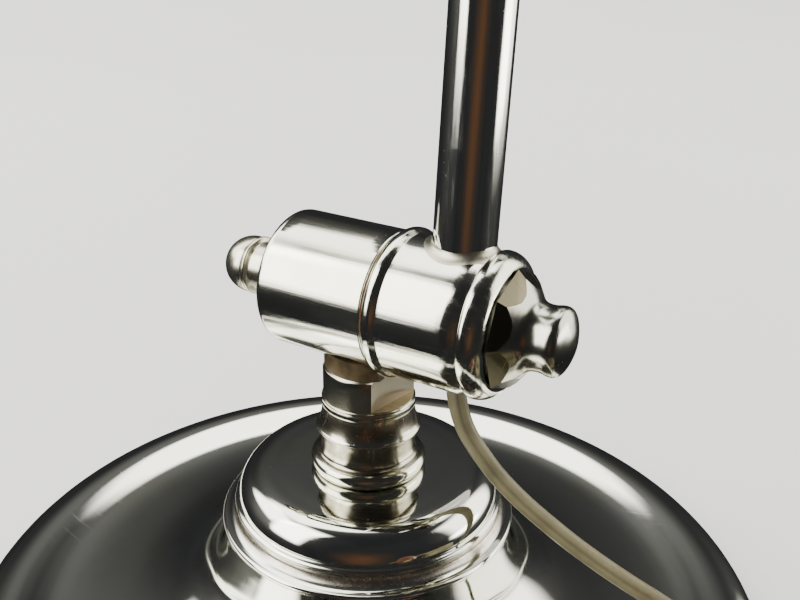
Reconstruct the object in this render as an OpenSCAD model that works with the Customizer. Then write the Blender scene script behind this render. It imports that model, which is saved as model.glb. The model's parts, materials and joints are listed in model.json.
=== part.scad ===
// Adjustable gooseneck desk lamp: weighted round base, swivelling post, two-part
// friction barrel joint, swan-neck arm, tilting shade with lampholder and switch,
// and a twin flex with its plug. Millimetres, +Z up, origin at the centre of the
// underside of the base. The barrel joint's axis runs along X.

/* [Base] */
// Outside diameter of the base over its rolled rim
base_d = 180; // [176:1:190]
// Height of the flat top of the dome above the table
dome_top = 42; // [42:0.5:46]
// Height of the bulging neck collar that stands on the dome
neck_h = 10; // [10:0.1:12]

/* [Barrel joint] */
// Height of the swivelling post
post_h = 14.2; // [14.2:0.1:17]
// Outside radius of the fixed half of the barrel
barrel_r = 14.4; // [14:0.1:14.8]
// Outside radius of the moving half of the barrel
arm_barrel_r = 14.7; // [14.4:0.1:15]
// Radius of the bolt that clamps the two halves
bolt_r = 3; // [2.5:0.1:3.2]
// Distance across the flats of the octagon on the clamp knob
knob_flats = 22.5; // [21:0.5:24]

/* [Arm] */
// Distance from the post's axis to the arm tube's axis, along the barrel
arm_x = 20.9; // [20:0.1:22]
// Outside diameter of the arm tube
tube_d = 12.4; // [12:0.1:12.6]
// Length of the arm's straight stem, from the barrel's axis to the bend
stem_h = 275; // [200:5:330]
// Radius of the swan-neck bend, on the tube's centreline
bend_r = 55; // [45:1:70]
// Angle that the swan neck turns through
bend_a = 160; // [130:5:175]
// Lean of the stem away from upright, as set
lean = 3.9; // [0:0.1:8]

/* [Shade and lampholder] */
// Diameter of the shade's mouth
shade_d = 130; // [124:1:140]
// Diameter of the golf-ball lamp's glass
glass_d = 45; // [40:1:50]

/* [Cord] */
// Width of the twin flex
cord_d = 4.2; // [4:0.1:4.4]

/* [Hidden] */
$fn = 96;
base_r = base_d / 2;
tube_r = tube_d / 2;
tube_in = tube_r - 1.2;
neck_top = dome_top + neck_h;          // top of the neck collar
post_z = neck_top + 0.4;               // underside of the post
post_top = post_z + post_h;
bz = post_top + 1.4 + barrel_r;        // height of the barrel's axis
x_l = -18.4;                           // left end of the barrel
x_m = 6.8;                             // end of the fixed half
x_a = 7.2;                             // start of the moving half
x_c = 27.4;                            // start of the end cap
x_k = 32;                            // outer face of the end cap
piv = 34;                              // tube end to the shade's pivot
knob_a = 155.4;                        // one flat of the knob, as clamped
cord_r = cord_d / 2;
coil_c = [126, -14];                   // centre of the coil
coil_in = 15.6;
coil_out = 28.5;
coil_h = 16.5;
plug_x = 131;                          // cable entry of the plug
plug_y = -60;
plug_z = 14.5;

// ---- helpers ------------------------------------------------------------

// Radius on the base: the dome keeps its size, the dish and rim follow base_d
function br(r) = r <= 33 ? r : 33 + (r - 33) * (base_r - 33) / 57;
function bp(l) = [for (p = l) [br(p[0]), p[1]]];
// Heights on the dome follow dome_top
function dz(z) = z + dome_top - 42;
// Points along an ellipse's arc, from angle a0 to a1
function ell(cx, cy, rx, ry, a0, a1, n) =
  [for (i = [0:n]) let (a = a0 + (a1 - a0) * i / n) [cx + rx * cos(a), cy + ry * sin(a)]];

module lathe(p) { rotate_extrude() polygon(p); }
module ring(ro, ri, z0, z1) {
  translate([0, 0, z0]) difference() {
    cylinder(r = ro, h = z1 - z0);
    translate([0, 0, -1]) cylinder(r = ri, h = z1 - z0 + 2);
  }
}
// Local +Z becomes the barrel's axis, +X
module on_barrel(x = 0) { translate([x, 0, bz]) rotate([0, 90, 0]) children(); }
// Local +Z is the stem's axis, from the barrel's axis upwards
module on_stem() { translate([arm_x, 0, bz]) rotate([-lean, 0, 0]) children(); }
// Local +Z runs out of the end of the bend
module on_neck_end() {
  on_stem() translate([0, bend_r, stem_h]) rotate([-bend_a, 0, 0])
    translate([0, -bend_r, 0]) children();
}
// Local +Z runs from the shade's pivot down through the shade
module on_shade() { on_neck_end() translate([0, 0, piv]) children(); }

// A round tube of radius r through the points of a route. ref is a direction
// that the route never runs along.
function unit(v) = v / norm(v);
function tangent(p, i) = unit(p[min(i + 1, len(p) - 1)] - p[max(i - 1, 0)]);
module swept(p, r, ref, m = 8) {
  pts = [for (i = [0:len(p) - 1]) let (t = tangent(p, i), u = unit(cross(t, ref)), v = cross(t, u))
    for (j = [0:m - 1]) p[i] + r * (cos(360 * j / m) * u + sin(360 * j / m) * v)];
  n = len(p);
  side = [for (i = [0:n - 2]) for (j = [0:m - 1]) for (k = [0:1])
    let (a = i * m + j, b = i * m + (j + 1) % m, c = (i + 1) * m + (j + 1) % m, d = (i + 1) * m + j)
      k == 0 ? [a, c, b] : [a, d, c]];
  polyhedron(points = pts, faces = concat([[for (j = [0:m - 1]) j]],
    [[for (j = [0:m - 1]) (n - 1) * m + m - 1 - j]], side), convexity = 8);
}

// ---- base ---------------------------------------------------------------

module felt_pad() color("darkolivegreen") cylinder(r = br(85.4), h = 1.4);

module base_plate() color("silver") difference() {
  translate([0, 0, 1.4]) cylinder(r = br(85.8), h = 1);
  for (a = [30, 150, 270]) rotate([0, 0, a]) translate([60, 0, 1.3]) cylinder(r1 = 4.1, r2 = 2.9, h = 1.2);
}

module plate_screws() color("goldenrod") for (a = [30, 150, 270]) rotate([0, 0, a]) translate([60, 0, 0]) difference() {
  union() {
    translate([0, 0, 1.4]) cylinder(r1 = 3.9, r2 = 1.95, h = 1.95);
    translate([0, 0, 3.3]) cylinder(r = 1.95, h = 2.2);
  }
  translate([-5, -0.4, 1]) cube([10, 0.8, 1]);
}

module base_weight() color("dimgray") difference() {
  lathe([[5.1, 2.4], [br(80), 2.4], [br(80), 5.7], [br(52), 5.9], [br(44), 8], [br(37.5), 11.2],
    [br(33), 15.8], [30.2, 21], [29.2, 27], [5.1, 27]]);
  translate([0, 0, 2]) cylinder(r = 11, h = 7.2);
  for (a = [30, 150, 270]) rotate([0, 0, a]) translate([60, 0, 2]) {
    cylinder(r1 = 3.6, r2 = 2, h = 1.6);
    cylinder(r = 2, h = 6);
  }
}

// Spun brass shell: flat-topped dome, two beaded steps, flared bell, dish, rolled rim
shell_outer = bp(concat(
  [[5.1, dz(42)]], ell(24.4, dz(35.3), 4.4, 6.7, 90, 8, 8),
  [[29.1, dz(35.0)], [29.55, dz(34.5)], [29.3, dz(33.9)], [29.35, dz(33.1)], [29.9, dz(32.3)], [31, dz(31.7)],
   [31.9, dz(31.5)], [32.4, dz(31)], [32.35, dz(30.2)], [32.1, dz(29.4)]],
  [[32.1, 27.5], [32.3, 25], [32.9, 22], [33.9, 19.4], [35.4, 17], [37.6, 14.8], [40.4, 12.8], [44, 11],
   [48.4, 9.6], [53.6, 8.6], [59.5, 8], [65.5, 7.8], [70, 8], [72.8, 8.5], [75.2, 9.4], [77.4, 10.4],
   [79.6, 11.1], [82, 11.4], [84.2, 11.1], [86.2, 10.3], [87.9, 9.1], [89.2, 7.5], [89.9, 5.7], [90, 4],
   [89.6, 2.4], [88.7, 1.3], [87.6, 0.9]]));
shell_inner = bp(concat(
  [[86.7, 1.4], [87.6, 2], [88.4, 3], [88.8, 4.2], [88.7, 5.5], [88, 7], [86.8, 8.3], [85.2, 9.4],
   [83.6, 10], [82, 10.2], [79.9, 9.9], [77.9, 9.2], [75.7, 8.2], [73.2, 7.3], [70.2, 6.8], [65.5, 6.6],
   [59.4, 6.8], [53.4, 7.4], [48, 8.4], [43.5, 9.8], [39.7, 11.7], [36.7, 13.9], [34.3, 16.4]],
  [[32.7, 19], [31.7, 21.8], [31.1, 24.9], [30.9, 27.5], [30.9, dz(29.5)], [31.1, dz(30.3)], [30.6, dz(30.5)],
   [29.2, dz(31.4)], [28.3, dz(32.6)], [28.1, dz(34)], [27.8, dz(35.2)], [27.2, dz(37.4)], [25.8, dz(39.6)], [24, dz(40.8)]],
  [[5.1, dz(40.8)]]));
module base_shell() color("gainsboro") lathe(concat(shell_outer, shell_inner));

module spindle() color("darkgoldenrod") lathe([[0, 3.2], [5, 3.2], [5, neck_top], [4.6, neck_top],
  [4.6, post_z + 7.6], [3.5, post_z + 7.6], [3.5, post_z + 10.6], [0, post_z + 10.6]]);

module hex_nut(af, ri, z0, z1) {
  difference() {
    translate([0, 0, z0]) cylinder(r = af / 2 / cos(30), h = z1 - z0, $fn = 6);
    translate([0, 0, z0 - 1]) cylinder(r = ri, h = z1 - z0 + 2);
  }
}

module spindle_nut() color("darkgoldenrod") hex_nut(16, 5.03, 3.4, 8.2);
module spindle_washer() color("silver") ring(10.4, 5.1, 8.2, 9.2);
module spacer_sleeve() color("darkgoldenrod") ring(8, 5.1, 27, dz(39.3));
module dome_washer() color("silver") ring(14, 5.1, dz(39.3), dz(40.8));

module neck_collar() color("gainsboro") difference() {
  lathe([[5.03, dz(42)], [11.3, dz(42)], [11.9, dz(42.25)], [12.35, dz(42.75)], [12.6, dz(43.4)], [12.63, dz(44.1)],
    [12.4, dz(44.8)], [11.9, dz(45.35)], [11.2, dz(45.7)], [10.8, dz(45.8)], [10.45, dz(46.2)], [10.3, dz(47)], [10.25, dz(48.5)],
    [10.3, dz(50)], [10.45, dz(51.2)], [10.5, neck_top], [5.03, neck_top]]);
  translate([-8.2, 0, neck_top - 3.2]) cylinder(r = 1.03, h = 4);
}

module stop_pin() color("silver") translate([-8.2, 0, neck_top - 3]) cylinder(r = 1, h = 4.6);

module swivel_friction_washer() color("saddlebrown") difference() {
  ring(10.5, 4.7, neck_top, post_z);
  translate([-8.2, 0, neck_top - 1]) cylinder(r = 1.15, h = 3);
}

// ---- swivelling post and fixed half of the barrel -----------------------

module swivel_post() color("gainsboro") difference() {
  // its skirt hangs over the friction washer
  lathe([[4.65, post_z], [10.75, post_z], [10.75, post_z - 0.65], [11.1, post_z - 0.65], [11.35, post_z - 0.4], [11.38, post_z - 0.1],
    [11.15, post_z + 0.25], [10.85, post_z + 0.7], [10.5, post_z + 1.6], [10.2, post_z + 2.7], [10.02, post_z + 3.8],
    [9.95, post_z + 4.8], [10.1, post_z + 5.3], [10.12, post_z + 6.6], [9.95, post_z + 6.95], [9.75, post_z + 7.05],
    [9.75, post_top - 0.6], [9.25, post_top], [5.6, post_top], [5.6, post_z + 7.6], [4.65, post_z + 7.6]]);
  // spanner flats
  for (s = [-10, 170]) rotate([0, 0, s]) translate([7, -12, post_z + 7.25]) cube([6, 24, 20]);
  // half-turn groove for the stop pin
  rotate([0, 0, 82]) translate([0, 0, post_z - 1]) rotate_extrude(angle = 196) translate([7, 0]) square([2.4, 3.2]);
}

module swivel_spring_washer() color("silver") ring(5.4, 3.6, post_z + 7.6, post_z + 8.2);

module swivel_lock_nut() color("darkgoldenrod") difference() {
  ring(5.3, 3.53, post_z + 8.2, post_z + 10.9);
  translate([-7, -0.6, post_z + 10]) cube([14, 1.2, 2]);
}

module post_stud() color("darkgoldenrod") lathe([[0, post_top - 2.8], [5.57, post_top - 2.8], [5.57, post_top],
  [4, post_top], [4, bz - 5.8], [3.5, bz - 5.3], [0, bz - 5.3]]);

module saddle_washer() color("peru") difference() {
  ring(9.45, 4.1, post_top, post_top + 4.3);
  on_barrel(-30) cylinder(r = barrel_r + 0.02, h = 60);
  translate([x_m - 0.1, -20, post_top - 1]) cube([10, 40, 10]); // clear of the moving half
}

// Curved washer inside the barrel, flat on top for the nut
module stud_saddle() color("silver") difference() {
  intersection() {
    translate([0, 0, bz - 13]) cylinder(r = 6.6, h = 4.2);
    on_barrel(-10) cylinder(r = 11.97, h = 20);
  }
  translate([0, 0, bz - 14]) cylinder(r = 4.1, h = 8);
}

module stud_nut() color("darkgoldenrod") hex_nut(11, 4.03, bz - 8.8, bz - 6);

module fixed_barrel() color("gainsboro") difference() {
  on_barrel() lathe([[bolt_r + 0.05, x_l], [barrel_r - 1.3, x_l], [barrel_r - 0.8, x_l + 0.1], [barrel_r - 0.35, x_l + 0.4],
    [barrel_r - 0.1, x_l + 0.8], [barrel_r, x_l + 1.4], [barrel_r, x_m], [12, x_m], [12, x_l + 3], [bolt_r + 0.05, x_l + 3]]);
  translate([0, 0, bz - 20]) cylinder(r = 4.05, h = 12);
}

module clamp_bolt() color("silver") on_barrel() lathe([[0, x_l - 8.5], [bolt_r - 0.4, x_l - 8.5], [bolt_r, x_l - 8.1],
  [bolt_r, x_k + 8.6], [bolt_r - 0.4, x_k + 9], [0, x_k + 9]]);

module end_washer() color("gainsboro") on_barrel() ring(8, bolt_r + 0.1, x_l - 1.2, x_l);

module dome_nut() color("gainsboro") on_barrel() lathe(concat(
  [[bolt_r + 0.02, x_l - 1.2], [5.4, x_l - 1.2], [5.4, x_l - 9.2], [5.9, x_l - 9.5], [6.35, x_l - 9.6], [6.35, x_l - 10.4],
   [6.1, x_l - 10.6]],
  ell(0, x_l - 11.6, 6.25, 6.2, 4, -90, 10),
  [[0, x_l - 9], [bolt_r + 0.02, x_l - 9]]));

// ---- moving half of the barrel, arm and its knuckle ---------------------

module friction_disc() color("saddlebrown") on_barrel() ring(13.6, bolt_r + 0.2, x_m, x_a);

module arm_barrel() color("gainsboro") difference() {
  union() {
    on_barrel() lathe(concat([[bolt_r + 0.05, x_a]], ell(arm_barrel_r - 1, x_a + 1.75, 1.8, 1.75, -90, 90, 10),
      [[arm_barrel_r, x_a + 3.7], [arm_barrel_r, x_c - 3.4], [arm_barrel_r - 0.15, x_c - 2.3], [arm_barrel_r - 0.45, x_c - 1.2],
       [arm_barrel_r - 0.75, x_c - 0.4], [arm_barrel_r - 0.8, x_c], [12.2, x_c], [12.2, x_a + 3.4], [bolt_r + 0.05, x_a + 3.4]]));
    // brazed socket for the stem
    intersection() {
      on_stem() lathe([[0, 9], [10.4, 9], [9.9, 12.9], [9.1, 14], [8.3, 14.9], [7.6, 16], [7.1, 17.2], [6.8, 18.5], [6.55, 19.4], [0, 19.4]]);
      translate([x_a + 1, -20, bz]) cube([x_c - x_a - 1, 40, 30]);
    }
  }
  on_barrel(x_a + 3.4) cylinder(r = 12.2, h = x_c - x_a);
  on_stem() translate([0, 0, 8]) cylinder(r = tube_r + 0.03, h = 14);
  translate([arm_x, 0, bz - 20]) cylinder(r = 3.53, h = 12);
}

module end_cap() color("gainsboro") on_barrel() lathe([[bolt_r + 0.05, x_c - 3], [12.15, x_c - 3], [12.15, x_c],
  [arm_barrel_r - 0.8, x_c], [arm_barrel_r - 0.45, x_c + 0.6], [arm_barrel_r - 0.1, x_c + 1.2], [arm_barrel_r, x_c + 1.9],
  [arm_barrel_r - 0.1, x_c + 2.6], [arm_barrel_r - 0.5, x_c + 3.3], [arm_barrel_r - 1.2, x_c + 3.9], [arm_barrel_r - 2.2, x_k],
  [bolt_r + 0.05, x_k]]);

// The arm's run at radius r: stem, swan neck and a short sleeve of radius re on its end
module run(r, z0, re, e) {
  on_stem() translate([0, 0, z0]) cylinder(r = r, h = stem_h - z0);
  on_stem() translate([0, bend_r, stem_h]) rotate([90, 0, -90])
    rotate_extrude(angle = bend_a) translate([bend_r, 0]) circle(r = r);
  on_neck_end() translate([0, 0, -3]) cylinder(r = re, h = 15 + e);
}
module arm_tube() color("gainsboro") {
  $fn = 48;
  difference() {
    run(tube_r, 12.6, tube_r + 0.25, 0);
    run(tube_in, 12, tube_in - 0.3, 1);
  }
}

module cord_bush() color("black") translate([arm_x, 0, bz]) difference() {
  translate([0, 0, -14.5]) cylinder(r = 3.5, h = 3.6);
  translate([0, 0, -16]) cylinder(r = cord_r + 0.1, h = 8);
  on_x_cyl(arm_barrel_r);
}
// Everything outside a cylinder of radius r about the local X axis
module on_x_cyl(r) { rotate([0, 90, 0]) translate([0, 0, -6]) ring(r + 6, r, 0, 12); }

// The flex inside the arm: round the clamp bolt, up the stem and over the bend
module inner_lead() color("khaki") {
  lead = concat(
    [[0, 0.94, -13.8], [0, 0.9, -11.4], [0, 2.3, -8.6], [0, 4.6, -5.4], [0, 5.8, -2], [0, 5.8, 1.6], [0, 5.2, 5], [0, 4, 8.4],
     [0, 3, 12], [0, 2.4, 17], [0, 2, 24]],
    [for (i = [1:10]) [0, 2 - 0.2 * i, 24] + [0, 0, (stem_h - 24) * i / 10]],
    [for (i = [1:16]) let (a = bend_a * i / 16) [0, bend_r * (1 - cos(a)), stem_h + bend_r * sin(a)]],
    [for (t = [6, 12, 18, 24, 30.5]) [0, bend_r * (1 - cos(bend_a)) + t * sin(bend_a), stem_h + bend_r * sin(bend_a) + t * cos(bend_a)]]);
  on_stem() swept(lead, 1.7, [1, 0, 0]);
}

module ear(x0, t) { // one fork ear, from x0 to x0 + t
  translate([x0, 0, 0]) rotate([0, 90, 0]) union() {
    translate([-piv, 0, 0]) cylinder(r = 7.4, h = t);
    translate([-piv, -7.4, 0]) cube([piv - 20, 14.8, t]);
  }
}
module fork() color("gainsboro") on_neck_end() difference() {
  union() {
    lathe([[0, 7], [7.2, 7], [7.8, 7.6], [7.8, 10], [7.2, 10.6], [7.2, 16], [9.4, 18], [9.4, 22], [0, 22]]);
    ear(6.2, 3.2);
    ear(-9.4, 3.2);
  }
  translate([0, 0, 6]) cylinder(r = tube_r + 0.28, h = 6);
  translate([0, 0, 6]) cylinder(r = 3.4, h = 20);
  translate([-12, 0, piv]) rotate([0, 90, 0]) cylinder(r = 2.55, h = 24);
}

module pivot_screw() color("gainsboro") on_shade() rotate([0, -90, 0]) difference() {
  lathe([[0, 4.2], [2.5, 4.2], [2.5, 9.4], [4.4, 9.4], [4.4, 10.6], [3.6, 11.5], [0, 11.5]]);
  translate([-6, -0.4, 10.6]) cube([12, 0.8, 2]);
}

module thumb_screw() color("gainsboro") on_shade() rotate([0, 90, 0]) difference() {
  lathe([[0, 4.2], [2.5, 4.2], [2.5, 9.5], [3.6, 9.5], [3.6, 12], [5.6, 13.2], [6.2, 14], [6.2, 19.4], [5.6, 20.2], [0, 20.6]]);
  for (a = [0:30:330]) rotate([0, 0, a]) translate([6.5, 0, 12.5]) cylinder(r = 0.55, h = 9);
}

module clamp_knob() color("gainsboro") on_barrel() difference() {
  lathe([[0, x_k + 0.5], [12.3, x_k + 0.5], [12.3, x_k + 1], [11.9, x_k + 1.35], [11.2, x_k + 1.75], [10.35, x_k + 2.3],
    [9.3, x_k + 3], [8.35, x_k + 3.7], [7.4, x_k + 4.5], [6.85, x_k + 5.3], [6.6, x_k + 6.2], [6.55, x_k + 7.2], [6.62, x_k + 8.1],
    [6.78, x_k + 8.9], [6.85, x_k + 9.4], [6.8, x_k + 10.1], [6.5, x_k + 10.7], [5.9, x_k + 11.25], [5, x_k + 11.75],
    [3.9, x_k + 12.25], [2, x_k + 12.8], [0, x_k + 13]]);
  // eight tapered flats
  for (a = [0:45:315]) rotate([0, 0, knob_a + a]) translate([knob_flats / 2 + 0.525, -10, x_k - 0.1])
    rotate([0, -41.2, 0]) cube([6, 20, 4.79]);
  translate([0, 0, x_k]) cylinder(r = bolt_r + 0.02, h = 9.3);
}

module knob_washer() color("silver") on_barrel() ring(10, bolt_r + 0.15, x_k, x_k + 0.5);

// ---- shade, lampholder and switch ---------------------------------------

module tilt_eye() color("gainsboro") on_shade() difference() {
  union() {
    rotate([0, 90, 0]) translate([0, 0, -5.9]) cylinder(r = 7.2, h = 11.8);
    cylinder(r = 5.6, h = 13);
    translate([0, 0, 12]) cylinder(r = 4.8, h = 9.5);
  }
  rotate([0, 90, 0]) translate([0, 0, -3.9]) cylinder(r = 4.7, h = 7.8);
  rotate([0, 90, 0]) translate([0, 0, -8]) cylinder(r = 2.55, h = 16);
  // sector open to the lead over the whole tilt
  rotate([0, 90, 0]) translate([0, 0, -2.6]) rotate([0, 0, -76]) rotate_extrude(angle = 152) square([10, 5.2]);
  cylinder(r = 2.7, h = 30);
}

module lampholder_cap() color("gainsboro") on_shade() difference() {
  lathe([[4.85, 13.2], [9, 13.2], [9.6, 13.8], [9.6, 16], [11, 18.4], [14, 21], [17.4, 23.6], [20, 27], [21.2, 31], [21.4, 35],
    [21.4, 38.6], [22.4, 39.2], [22.4, 40.8], [17.4, 40.8], [17.4, 38], [20.2, 38], [20.2, 34], [20, 31], [18.9, 27.8], [16.6, 24.8],
    [13, 21.8], [10, 19.6], [4.85, 19.6]]);
  translate([0, 0, 30]) rotate([0, -90, 0]) cylinder(r = 2.96, h = 30);
}

module lampholder_body() color("black") on_shade() ring(17.2, 14.6, 38.2, 66);

module insulator() color("ivory") on_shade() difference() {
  translate([0, 0, 38.2]) cylinder(r = 14.5, h = 8);
  translate([0, 0, 30]) cylinder(r = 2.2, h = 30);
  for (s = [-1, 1]) translate([0, s * 9, 36]) cylinder(r = 1.52, h = 12);
}

module screw_shell() color("darkgoldenrod") on_shade() ring(13.9, 13.3, 46.2, 64);

module centre_contact() color("darkgoldenrod") on_shade() union() {
  translate([-3, -1.2, 46.2]) cube([10, 2.4, 0.5]);
  translate([-3, -1.2, 46.2]) cube([0.6, 2.4, 2]);
  translate([-3, -1.2, 47.7]) cube([5, 2.4, 0.5]);
}

module terminal_screws() color("darkgoldenrod") on_shade() for (s = [-1, 1]) translate([0, s * 9, 0]) difference() {
  union() {
    translate([0, 0, 36.6]) cylinder(r = 2.8, h = 1.6);
    translate([0, 0, 38]) cylinder(r = 1.5, h = 7.6);
  }
  translate([-4, -0.35, 36]) cube([8, 0.7, 1.2]);
}

module holder_lead() color("khaki") on_shade()
  swept([[0, 0, 2.8], [0, 0, 8], [0, 0, 14], [0, 0, 20.5], [1.2, 0, 25], [3.6, 0, 28], [6, 0, 31], [7, 0, 34], [7, 0, 37.6]], 1.6, [0, 1, 0]);

module switch_body() color("black") on_shade() difference() {
  translate([-17, -6.5, 24.6]) cube([13, 13, 11.6]);
  translate([0, 0, 30]) rotate([0, -90, 0]) cylinder(r = 2.96, h = 30);
  // corners kept clear of the domed cap
  for (s = [-1, 1]) translate([-17, s * 6.5, 24.6]) rotate([s * 45, 0, 0]) translate([-1, -2.2, -2.2]) cube([15, 4.4, 4.4]);
  translate([-17, -8, 24.6]) rotate([0, 45, 0]) translate([-3.2, 0, -3.2]) cube([6.4, 16, 6.4]);
}

module switch_spindle() color("darkgoldenrod") on_shade() translate([0, 0, 30]) rotate([0, -90, 0])
  lathe([[0, 5], [2.9, 5], [2.9, 25], [2.2, 25], [2.2, 33], [0, 33]]);

module switch_knob() color("black") on_shade() translate([0, 0, 30]) rotate([0, -90, 0]) difference() {
  union() {
    lathe([[0, 25.2], [5.6, 25.2], [6, 25.8], [6, 28], [5.2, 29], [0, 29]]);
    intersection() {
      translate([-8, -2.4, 28]) cube([16, 4.8, 12]);
      lathe([[0, 27], [7.4, 27], [7.6, 32], [7, 36.6], [5.6, 38.4], [0, 39.2]]);
    }
  }
  translate([0, 0, 24]) cylinder(r = 2.23, h = 9.3);
}

sr = shade_d / 2;
shade_prof = [[24, 41], [28.4, 42.4], [32.2, 45.8], [35.6, 51], [39, 58.5], [43, 69], [sr - 17.4, 81], [sr - 12.4, 94],
  [sr - 7.2, 107.5], [sr - 2.6, 119]];
module shade() color("gainsboro") on_shade() lathe(concat(
  [[17.35, 41]], shade_prof, ell(sr - 1.3, 125, 1.3, 1.3, -60, 200, 11),
  [for (i = [len(shade_prof) - 1:-1:1]) shade_prof[i] + [-0.85, 0.3]], [[24, 41.9], [17.35, 41.9]]));

module shade_ring() color("black") on_shade() difference() {
  lathe([[17.25, 42.1], [23.6, 42.1], [24.2, 42.7], [24.2, 46.2], [22.8, 47.6], [17.25, 47.6]]);
  for (a = [0:15:345]) rotate([0, 0, a]) translate([24.4, 0, 43.4]) cylinder(r = 0.6, h = 6);
}

module bulb_cap() color("silver") on_shade() lathe([[0, 48.3], [3, 48.3], [8, 49.6], [12.4, 51.6], [13.1, 52.4], [13.1, 70],
  [13.4, 73.5], [0, 73.5]]);

gr = glass_d / 2;
module bulb_glass() color("white") on_shade() lathe(concat([[0, 73.5], [13.4, 73.5], [14, 76], [16.6, 80.5]],
  ell(0, 101, gr, gr, -35, 90, 14)));

// ---- cord, coil and plug --------------------------------------------------

// From just under the barrel, down over the rim and along the table to the coil
lead_route = [[arm_x, 0, bz - 15.7], [21.3, 0, 64], [22, 0.2, 61], [23, 0.5, 58], [24.7, 0.9, 54.9], [27.2, 1.4, 51.5],
  [30.2, 2, 47.9], [33.5, 2.8, 44.6], [37, 3.6, 41.6], [44.4, 5.3, 36.2], [54, 7.5, 30.3], [63.8, 9.7, 25.3], [73, 11.8, 20.5],
  [82, 13.7, 15.8], [89, 14.9, 12.2], [96, 15.4, 8.6], [103, 15.2, 5.4], [109, 14.6, 3.2], [116, 13.2, 2.2]];
// From the outside of the coil's top turn to the plug
tail_route = [[152.2, -18, 14.2], [151.9, -25, 14.2], [151.1, -32, 14.2], [149.9, -39, 14.3], [148, -46, 14.4], [144.6, -52.6, 14.5],
  [139.4, -57.8, 14.5], [plug_x, plug_y, plug_z]];

module cord_lead() color("tan") swept(lead_route, cord_r, [0, 1, 0.2]);
module cord_tail() color("tan") swept(tail_route, cord_r, [0, 0, 1]);
module cord_coil() color("tan") translate(coil_c) lathe([[coil_in, 0], [coil_out, 0], [coil_out, coil_h], [coil_in, coil_h]]);

module coil_tie() color("black") translate(coil_c) rotate([0, 0, 225]) difference() {
  translate([coil_in - 0.9, -2.5, 0]) cube([coil_out - coil_in + 1.8, 5, coil_h + 0.9]);
  translate([coil_in - 0.1, -4, 0.8]) cube([coil_out - coil_in + 0.2, 8, coil_h - 0.7]);
}

// Local +Z runs from the cable entry to the pins
module on_plug() { translate([plug_x, plug_y, plug_z]) rotate([0, -90, 0]) children(); }
module plug_body() color("saddlebrown") on_plug() difference() {
  lathe([[0, 0], [3.6, 0], [4, 0.5], [4.8, 8], [6.6, 12], [9.6, 15.4], [12, 18.4], [13, 22], [13.3, 26.4], [14.5, 28.6], [14.5, 35],
    [14, 35.8], [0, 35.8]]);
  for (s = [-1, 1]) translate([0, 9.5 * s, 24]) cylinder(r = 2.03, h = 14);
  translate([0, 0, 33.4]) cylinder(r = 2.6, h = 4);
}
module plug_pins() color("darkgoldenrod") on_plug() for (s = [-1, 1]) translate([0, 9.5 * s, 0])
  lathe([[0, 25], [2, 25], [2, 53.4], [1.2, 54.6], [0, 54.8]]);
module plug_screw() color("silver") on_plug() difference() {
  translate([0, 0, 33.4]) cylinder(r = 2.5, h = 1.4);
  translate([-3, -0.35, 34.2]) cube([6, 0.7, 1]);
}

felt_pad();
base_plate();
plate_screws();
base_weight();
base_shell();
spindle();
spindle_nut();
spindle_washer();
spacer_sleeve();
dome_washer();
neck_collar();
stop_pin();
swivel_friction_washer();
swivel_spring_washer();
swivel_lock_nut();
swivel_post();
post_stud();
saddle_washer();
stud_saddle();
stud_nut();
fixed_barrel();
clamp_bolt();
end_washer();
dome_nut();
friction_disc();
arm_barrel();
end_cap();
arm_tube();
cord_bush();
inner_lead();
fork();
pivot_screw();
clamp_knob();
knob_washer();
thumb_screw();
tilt_eye();
lampholder_cap();
lampholder_body();
insulator();
screw_shell();
centre_contact();
terminal_screws();
holder_lead();
switch_body();
switch_spindle();
switch_knob();
shade();
shade_ring();
bulb_cap();
bulb_glass();
cord_lead();
cord_coil();
cord_tail();
coil_tie();
plug_body();
plug_pins();
plug_screw();
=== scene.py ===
import json
import math
import bpy
import bmesh
from mathutils import Matrix, Vector


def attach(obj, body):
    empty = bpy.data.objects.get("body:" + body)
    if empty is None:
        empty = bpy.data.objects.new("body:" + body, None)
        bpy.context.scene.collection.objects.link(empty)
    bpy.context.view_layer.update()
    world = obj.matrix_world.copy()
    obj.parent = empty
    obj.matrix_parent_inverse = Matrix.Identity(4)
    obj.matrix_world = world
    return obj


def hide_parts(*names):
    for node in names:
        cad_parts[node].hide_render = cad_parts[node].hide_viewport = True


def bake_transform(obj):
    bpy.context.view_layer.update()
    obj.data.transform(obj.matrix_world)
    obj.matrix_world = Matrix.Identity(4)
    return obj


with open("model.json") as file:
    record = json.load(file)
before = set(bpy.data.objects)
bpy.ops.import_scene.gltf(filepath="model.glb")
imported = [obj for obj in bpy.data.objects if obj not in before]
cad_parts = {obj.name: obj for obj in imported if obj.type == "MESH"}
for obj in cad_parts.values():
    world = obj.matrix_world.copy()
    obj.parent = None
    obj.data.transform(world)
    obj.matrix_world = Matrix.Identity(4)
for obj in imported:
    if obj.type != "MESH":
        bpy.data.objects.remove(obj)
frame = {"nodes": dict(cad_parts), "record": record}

MM = 0.001
sc = bpy.context.scene
nodes = frame["nodes"]
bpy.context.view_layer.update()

# ---------------------------------------------------------------- camera
cam_data = bpy.data.cameras.new("camera")
cam_data.sensor_width = 36.0
cam_data.lens = 42.75
cam_data.clip_start = 0.005
cam_data.clip_end = 50
cam = bpy.data.objects.new("camera", cam_data)
sc.collection.objects.link(cam)
right = Vector((0.85615, 0.51648, 0.01599))
upv = Vector((-0.21953, 0.33556, 0.91608))
fwd = Vector((-0.46777, 0.78782, -0.40067))
m = Matrix.Identity(4)
for i in range(3):
    m[i][0], m[i][1], m[i][2] = right[i], upv[i], -fwd[i]
m.translation = Vector((0.09693, -0.15074, 0.15928))
cam.matrix_world = m
sc.camera = cam

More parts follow.
